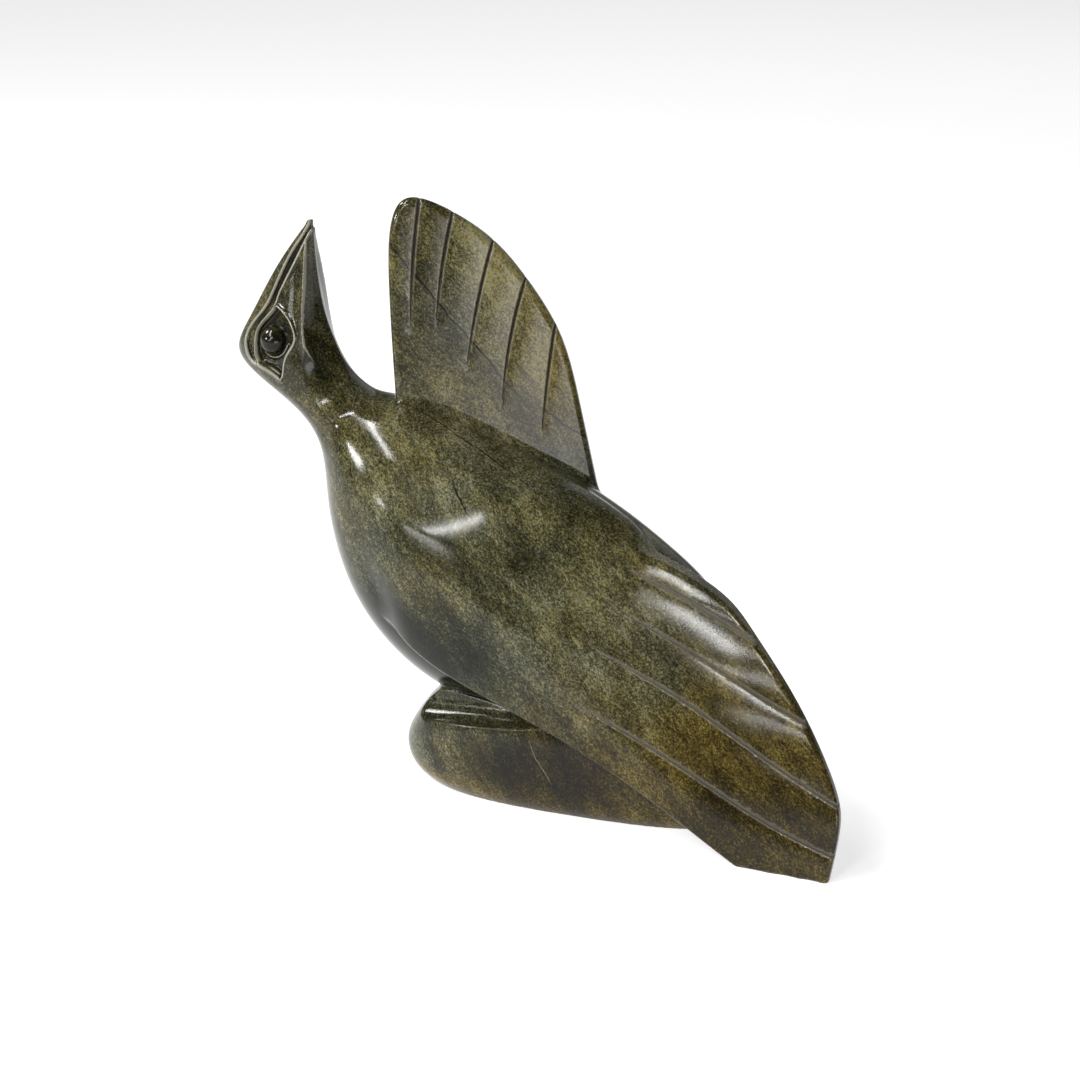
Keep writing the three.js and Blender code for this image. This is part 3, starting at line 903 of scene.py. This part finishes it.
class Nodes:
    """Short calls for a material's node tree."""

    def __init__(self, name):
        self.material = bpy.data.materials.new(name)
        self.material.use_nodes = True
        self.tree = self.material.node_tree
        self.shader = self.tree.nodes["Principled BSDF"]

    def add(self, kind, **settings):
        node = self.tree.nodes.new(kind)
        for key, value in settings.items():
            setattr(node, key, value)
        return node

    def join(self, start, end):
        self.tree.links.new(start, end)

    def feed(self, value, socket):
        """Give a socket a number, a colour or another node's output."""
        if isinstance(value, (int, float)):
            socket.default_value = value
        elif isinstance(value, tuple):
            socket.default_value = (*value, 1.0)
        else:
            self.join(value, socket)

    def vector(self, operation, source, other=None):
        """A vector operation on source and, if given, a fixed vector."""
        node = self.add("ShaderNodeVectorMath", operation=operation)
        self.join(source, node.inputs[0])
        if other:
            fill(node, {1: other})
        return node

    def mapped(self, source, turn, scale):
        """Coordinates turned by Euler angles (degrees), then stretched by scale."""
        turned = self.add("ShaderNodeMapping", vector_type="POINT")
        fill(turned, {"Rotation": [np.radians(a) for a in turn]})
        self.join(source, turned.inputs["Vector"])
        stretched = self.add("ShaderNodeMapping", vector_type="POINT")
        fill(stretched, {"Scale": scale})
        self.join(turned.outputs["Vector"], stretched.inputs["Vector"])
        return stretched.outputs["Vector"]

    def noise(self, source, scale, detail, roughness):
        node = self.add("ShaderNodeTexNoise")
        fill(node, {"Scale": scale, "Detail": detail, "Roughness": roughness})
        self.join(source, node.inputs["Vector"])
        return node.outputs["Fac"]

    def warped(self, source, scale, amount):
        """Coordinates pushed about by a soft noise of that scale, by up to half of amount (metres)."""
        push = self.add("ShaderNodeTexNoise")
        fill(push, {"Scale": scale, "Detail": 2.0})
        self.join(source, push.inputs["Vector"])
        centred = self.vector("SUBTRACT", push.outputs["Color"], (0.5, 0.5, 0.5))
        added = self.vector("MULTIPLY_ADD", centred.outputs[0], (amount, amount, amount))
        self.join(source, added.inputs[2])
        return added.outputs[0]

    def total(self, *weighted):
        """The sum of (value, weight) pairs."""
        result = None
        for value, weight in weighted:
            part = self.maths("MULTIPLY", value, weight)
            result = part if result is None else self.maths("ADD", result, part)
        return result

    def cloud(self, source, centre, reach):
        """1 at centre, fading to 0 at reach from it along X, Y and Z."""
        moved = self.vector("SUBTRACT", source, centre)
        scaled = self.vector("DIVIDE", moved.outputs[0], reach)
        length = self.vector("LENGTH", scaled.outputs[0])
        return self.spread(length.outputs["Value"], 0.5, 1.5, 1.0, 0.0)

    def vein(self, source, normal, offset, centre, reach, width):
        """1 on a slightly ragged plane through the stone, within reach of centre."""
        ragged = self.warped(self.warped(source, 60.0, 0.004), 400.0, 0.0012)
        across = self.vector("DOT_PRODUCT", ragged, normal)
        gap = self.maths("ABSOLUTE", self.maths("SUBTRACT", across.outputs["Value"], offset), 0.0)
        on_line = self.spread(gap, 0.5 * width, 1.6 * width, 1.0, 0.0)
        return self.maths("MULTIPLY", on_line, self.cloud(source, centre, (reach, reach, reach)))

    def spread(self, source, low, high, to_low=0.0, to_high=1.0):
        node = self.add("ShaderNodeMapRange", interpolation_type="SMOOTHSTEP")
        fill(node, {"From Min": low, "From Max": high, "To Min": to_low, "To Max": to_high})
        self.join(source, node.inputs["Value"])
        return node.outputs["Result"]

    def maths(self, operation, first, second):
        node = self.add("ShaderNodeMath", operation=operation)
        for socket, value in zip(node.inputs, (first, second)):
            self.feed(value, socket)
        return node.outputs["Value"]

    def mix(self, share, first, second):
        node = self.add("ShaderNodeMix", data_type="RGBA")
        for name, kind, value in (("Factor", "VALUE", share), ("A", "RGBA", first), ("B", "RGBA", second)):
            socket = [s for s in node.inputs if s.name == name and s.type == kind][0]
            self.feed(value, socket)
        return [s for s in node.outputs if s.type == "RGBA"][0]

    def attribute(self, name):
        return self.add("ShaderNodeAttribute", attribute_name=name).outputs["Fac"]

    def ramp(self, source, stops):
        node = self.add("ShaderNodeValToRGB")
        set_stops(node.color_ramp, stops)
        self.join(source, node.inputs["Fac"])
        return node.outputs["Color"]


# Direction of the stone's layers, as turns about X, Y and Z (degrees), and how finely the patches and
# the grain repeat along and across them.
SLANT = (20.0, -48.0, 0.0)
PATCH_STRETCH = (0.8, 0.8, 2.2)
GRAIN_STRETCH = (0.85, 0.85, 1.35)
# How often each variation repeats (per metre).
CLOUD_SCALE = 17.0
PATCH_SCALE = 38.0
STREAK_SCALE = 230.0
TINT_SCALE = 430.0
GRAIN_SCALE = 960.0
GRAIN_HEIGHT = 0.00006
STONE_IOR = 1.34
# Roughness of the polished stone and of the cut floors.
POLISHED = 0.14
UNPOLISHED = 0.55
# Each colour of grain from its darkest to its palest, and where on the scale of tone the four lie.
TONE_STOPS = (0.52, 0.68, 0.82, 1.0)
GREY = [(0.002, 0.003, 0.001), (0.010, 0.012, 0.006), (0.042, 0.044, 0.026), (0.16, 0.16, 0.11)]
OLIVE = [(0.002, 0.002, 0.001), (0.013, 0.012, 0.003), (0.054, 0.049, 0.019), (0.18, 0.16, 0.065)]
BROWN = [(0.003, 0.002, 0.001), (0.015, 0.010, 0.001), (0.054, 0.039, 0.007), (0.17, 0.13, 0.040)]
# Painted shade over both eyes and their sockets: centre, reach (m) and how much darker.
EYE_SHADE = (-0.1375, 0.0132, 0.209)
EYE_SHADE_REACH = (0.009, 0.030, 0.009)
EYE_SHADE_DARKER = 0.18
# Height of the rock's pale foot, where it starts to show and where it is full (m).
FOOT_TOP = 0.016
FOOT_FULL = 0.008
# The raised wing starts between these heights, and the head between these X (m).
RAISED_WING_Z = (0.150, 0.180)
HEAD_BACK_X = (-0.095, -0.110)
CUT_COLOUR = (0.105, 0.094, 0.078)
# Painted shade in the raised wing's cut floors.
RAISED_CUT_SHADE_COLOUR = (0.030, 0.024, 0.018)
# Edges rubbed pale, which also paints a highlight along the head's ridges and the rims.
RUBBED_EDGE_AND_HIGHLIGHT_COLOUR = (0.27, 0.255, 0.205)
# Dust and painted shade in grooves.
GROOVE_DUST_AND_SHADE_COLOUR = (0.006, 0.006, 0.004)
CRACK_COLOUR = (0.002, 0.002, 0.002)
VEIN_COLOUR = (0.11, 0.10, 0.07)
# Clouds in the stone, and patches of painted shade and painted highlight, each marked below: centre (m),
# reach in X, Y and Z, and how much darker (below 0, paler).
CLOUDS_AND_PAINTED_LIGHT = [
    # painted shade on the rock under the folded wing's overhang
    ((0.020, -0.040, 0.020), (0.035, 0.040, 0.020), 0.16),
    # painted shade on the belly's underside, above the rock
    ((-0.055, -0.010, 0.075), (0.055, 0.060, 0.025), 0.18),
    # painted highlight, a soft sheen over the shoulders and back
    ((-0.040, -0.015, 0.165), (0.070, 0.050, 0.030), -0.06),
    ((-0.120, 0.010, 0.215), (0.016, 0.030, 0.030), 0.06),
    # painted shade low on the folded wing's tip, by the floor
    ((0.130, -0.050, 0.010), (0.045, 0.040, 0.030), 0.10),
    # painted light: the raised wing's upper part made paler, as if lit from above
    ((-0.005, 0.040, 0.258), (0.050, 0.040, 0.060), -0.19),
    # painted sheen, a broad soft reflection on the folded wing's middle
    ((0.035, -0.045, 0.098), (0.040, 0.050, 0.035), -0.06),
]
# Flat cracks and a vein through the stone: the plane's normal and offset (m), the centre and reach
# of the stretch that shows, half the width, and the colour.
VEINS = [
    ((-0.700, -0.325, -0.636), -0.1123, (-0.052, 0.020, 0.224), 0.052, 0.00042, CRACK_COLOUR),
    ((-0.293, -0.660, -0.692), -0.1415, (0.002, 0.034, 0.171), 0.014, 0.00038, CRACK_COLOUR),
    ((-0.750, -0.479, -0.456), -0.0332, (-0.030, -0.026, 0.150), 0.010, 0.00040, CRACK_COLOUR),
    ((-0.318, -0.868, -0.382), -0.0536, (-0.040, 0.000, 0.173), 0.034, 0.00030, CRACK_COLOUR),
    ((-0.864, -0.129, -0.486), -0.0193, (0.012, -0.035, 0.027), 0.010, 0.00020, VEIN_COLOUR),
]


def stone_tone(n, plain, place, grain, foot):
    """Light and dark of the stone: patches, streaks and grain, the clouds with patches of painted shade
    and painted highlight among them, painted shade over the eyes and their sockets, and the foot.
    """
    layers = n.mapped(place, SLANT, PATCH_STRETCH)
    patches = n.noise(layers, PATCH_SCALE, 3.0, 0.6)
    streaks = n.noise(layers, STREAK_SCALE, 3.0, 0.6)
    tone = n.total((patches, 0.42), (streaks, 0.28), (grain, 0.82))
    # Some of these patches are painted shade and painted highlight, not the stone's own clouds.
    for centre, reach, strength in CLOUDS_AND_PAINTED_LIGHT:
        tone = n.maths("SUBTRACT", tone, n.maths("MULTIPLY", n.cloud(place, centre, reach), strength))
    # Painted shade over the eyes and their sockets.
    eyes = n.cloud(plain, EYE_SHADE, EYE_SHADE_REACH)
    tone = n.maths("SUBTRACT", tone, n.maths("MULTIPLY", eyes, EYE_SHADE_DARKER))
    return n.maths("ADD", tone, n.maths("MULTIPLY", foot, 0.06))


def grain_colour(n, along, up, place, fine_layers, tone, foot):
    """Olive among the grey-green grains, browner towards the tail, the foot of the rock and the rear
    of the raised wing."""
    clouds = n.noise(place, CLOUD_SCALE, 3.0, 0.55)
    tint_grain = n.noise(fine_layers, TINT_SCALE, 2.0, 0.6)
    olive_share = n.spread(n.total((clouds, 0.65), (tint_grain, 0.55)), 0.50, 0.70, 0.1, 0.95)
    slant = n.total((along, 0.8), (up, -1.0), (clouds, 0.20))
    brown_share = n.maths("MAXIMUM", n.spread(slant, -0.02, 0.16), foot)
    raised = n.spread(up, *RAISED_WING_Z)
    raised_brown = n.maths("MULTIPLY", raised, n.spread(along, -0.050, 0.000, 0.2, 0.75))
    brown_share = n.maths("MAXIMUM", brown_share, raised_brown)
    grey, olive, brown = [n.ramp(tone, list(zip(TONE_STOPS, tints))) for tints in (GREY, OLIVE, BROWN)]
    return n.mix(brown_share, n.mix(olive_share, grey, olive), brown)


def wear_and_painted_light_colour(n, plain, along, up, colour, unpolished):
    """Veins; unpolished cut floors, dark with painted shade on the raised wing; edges rubbed pale and
    painted with a highlight, most of all on the head; and grooves that keep dust, darkened with painted
    shade."""
    for normal, offset, centre, reach, width, tint in VEINS:
        colour = n.mix(n.vein(plain, normal, offset, centre, reach, width), colour, tint)
    # The raised wing's cut floors are dark with painted shade; the folded wing's keep the pale colour of
    # unpolished stone.
    cut_colour = n.mix(n.spread(up, 0.15, 0.17), CUT_COLOUR, RAISED_CUT_SHADE_COLOUR)
    colour = n.mix(n.spread(unpolished, 0.15, 0.65), colour, cut_colour)
    sharpness = n.attribute("sharpness")
    on_head = n.spread(along, *HEAD_BACK_X, 0.30, 1.0)
    # Sharp edges, most of all on the head, are rubbed pale and painted with a highlight.
    rubbed_and_highlit = n.maths("MULTIPLY", n.spread(sharpness, 0.35, 1.3, 0.0, 0.75), on_head)
    colour = n.mix(rubbed_and_highlit, colour, RUBBED_EDGE_AND_HIGHLIGHT_COLOUR)
    # Grooves outside the cuts keep dust and are darkened with painted shade.
    outside_cuts = n.spread(unpolished, 0.3, 0.1)
    dust_and_shade_in_groove = n.maths("MULTIPLY", n.spread(sharpness, -0.5, -1.5, 0.0, 0.85), outside_cuts)
    return n.mix(dust_and_shade_in_groove, colour, GROOVE_DUST_AND_SHADE_COLOUR)


def make_stone():
    """The polished stone, with its unpolished cuts."""
    n = Nodes("polished_serpentine")
    plain = n.add("ShaderNodeTexCoord").outputs["Object"]
    parts = n.add("ShaderNodeSeparateXYZ")
    n.join(plain, parts.inputs[0])
    along = parts.outputs["X"]
    up = parts.outputs["Z"]
    place = n.warped(plain, 14.0, 0.020)
    fine_layers = n.mapped(n.warped(plain, 160.0, 0.002), SLANT, GRAIN_STRETCH)
    grain = n.noise(fine_layers, GRAIN_SCALE, 2.0, 0.8)
    foot = n.spread(up, FOOT_TOP, FOOT_FULL)
    tone = stone_tone(n, plain, place, grain, foot)
    colour = grain_colour(n, along, up, place, fine_layers, tone, foot)
    unpolished = n.attribute("unpolished")
    colour = wear_and_painted_light_colour(n, plain, along, up, colour, unpolished)
    n.join(colour, n.shader.inputs["Base Color"])
    roughness = n.spread(unpolished, 0.1, 0.6, POLISHED, UNPOLISHED)
    n.join(roughness, n.shader.inputs["Roughness"])
    fill(n.shader, {"IOR": STONE_IOR})
    bump = n.add("ShaderNodeBump")
    fill(bump, {"Strength": 0.4, "Distance": GRAIN_HEIGHT})
    n.join(grain, bump.inputs["Height"])
    n.join(bump.outputs["Normal"], n.shader.inputs["Normal"])
    return n.material


# ---- floor, lights and camera ----

FLOOR_SIDE = 6.0
FLOOR_GAP = 0.0002
FLOOR_GLOW = 0.72
CEILING = 1.7
# Brightness of the surroundings by the height of the direction (0 level, 1 straight up).
SKY = [(0.0, 0.35), (0.06, 0.25), (0.20, 0.12), (0.45, 0.08)]
CAMERA_AZIMUTH = 20.0
CAMERA_ELEVATION = 20.0
CAMERA_DISTANCE = 1.224
LENS = 85.0
SENSOR = 36.0
# What the camera and the lights aim at: the carving's own axis, at mid height.
LOOK_AT = Vector((-0.0053, 0.0132, 0.120))


def make_floor():
    """A plain pale floor, just below the carving."""
    mesh = bpy.data.meshes.new("floor")
    side = FLOOR_SIDE
    corners = [(-side, -side, 0), (side, -side, 0), (side, side, 0), (-side, side, 0)]
    mesh.from_pydata(corners, [], [(0, 1, 2, 3)])
    floor = bpy.data.objects.new("floor", mesh)
    floor.location.z = cad_low.z - FLOOR_GAP
    show(floor)
    n = Nodes("pale_floor")
    fill(n.shader, {"Base Color": (0.5, 0.5, 0.5, 1.0), "Roughness": 0.7, "Specular IOR Level": 0.2})
    fill(n.shader, {"Emission Color": (1.0, 1.0, 1.0, 1.0), "Emission Strength": FLOOR_GLOW})
    mesh.materials.append(n.material)


def direction(azimuth, elevation):
    """Unit vector towards a viewer: azimuth 0 is in front (-Y), 90 to the right (+X)."""
    a, e = np.radians([azimuth, elevation])
    return Vector((np.sin(a) * np.cos(e), -np.cos(a) * np.cos(e), np.sin(e)))


def new_light(name, size, power):
    data = bpy.data.lights.new(name, "AREA")
    data.shape = "RECTANGLE"
    data.size, data.size_y = size
    data.energy = power
    light = bpy.data.objects.new(name, data)
    show(light)
    return light


def make_light(name, azimuth, elevation, distance, size, power, turn=0.0):
    """A light that faces the carving, turned about its own axis."""
    light = new_light(name, size, power)
    towards = direction(azimuth, elevation)
    light.location = LOOK_AT + towards * distance
    light.rotation_mode = "QUATERNION"
    turned = Quaternion((0, 0, 1), np.radians(turn))
    light.rotation_quaternion = towards.to_track_quat("Z", "Y") @ turned
    light.visible_camera = False


def make_ceiling_light(name, x, y, size, power):
    """A light overhead, facing down, at (x, y) from the carving in shares of the ceiling height."""
    light = new_light(name, size, power)
    light.location = LOOK_AT + Vector((x, y, 1.0)) * CEILING


def make_world():
    """Pale walls that fade upwards into a dim ceiling."""
    world = bpy.data.worlds.new("surroundings")
    world.use_nodes = True
    tree = world.node_tree
    background = tree.nodes["Background"]
    direction_of = tree.nodes.new("ShaderNodeTexCoord")
    parts = tree.nodes.new("ShaderNodeSeparateXYZ")
    fade = tree.nodes.new("ShaderNodeValToRGB")
    tree.links.new(direction_of.outputs["Generated"], parts.inputs[0])
    tree.links.new(parts.outputs["Z"], fade.inputs["Fac"])
    set_stops(fade.color_ramp, [(position, (value, value, value)) for position, value in SKY])
    tree.links.new(fade.outputs["Color"], background.inputs["Color"])
    background.inputs["Strength"].default_value = 1.0
    bpy.context.scene.world = world


def make_camera():
    data = bpy.data.cameras.new("camera")
    data.lens = LENS
    data.sensor_width = SENSOR
    camera = bpy.data.objects.new("camera", data)
    back = direction(CAMERA_AZIMUTH, CAMERA_ELEVATION)
    camera.location = LOOK_AT + back * CAMERA_DISTANCE
    camera.rotation_mode = "QUATERNION"
    camera.rotation_quaternion = (-back).to_track_quat("-Z", "Y")
    show(camera)
    bpy.context.scene.camera = camera


make_camera()
make_world()
make_floor()
make_ceiling_light("tube_left", -0.47, -0.46, (0.11, 1.75), 42.0)
# azimuth, elevation (degrees), distance, size (m), power (W) and turn (degrees)
make_light("strip_right", -9.0, 33.0, 2.0, (0.09, 0.85), 14.0, turn=-38.0)
make_light("window_left", -54.0, 18.0, 2.2, (0.32, 0.14), 15.0)
make_light("window_low", -22.0, 13.5, 2.2, (0.75, 0.12), 5.5, turn=3.0)
make_light("window_side", -95.0, 41.0, 1.8, (0.5, 0.25), 16.0)
make_light("wall_right", 32.0, 4.0, 1.9, (0.95, 0.45), 8.0)
make_light("wall_back", 172.0, 25.0, 2.5, (1.8, 1.2), 4.0)
make_bird(make_stone())
bpy.context.scene.view_settings.view_transform = "Standard"
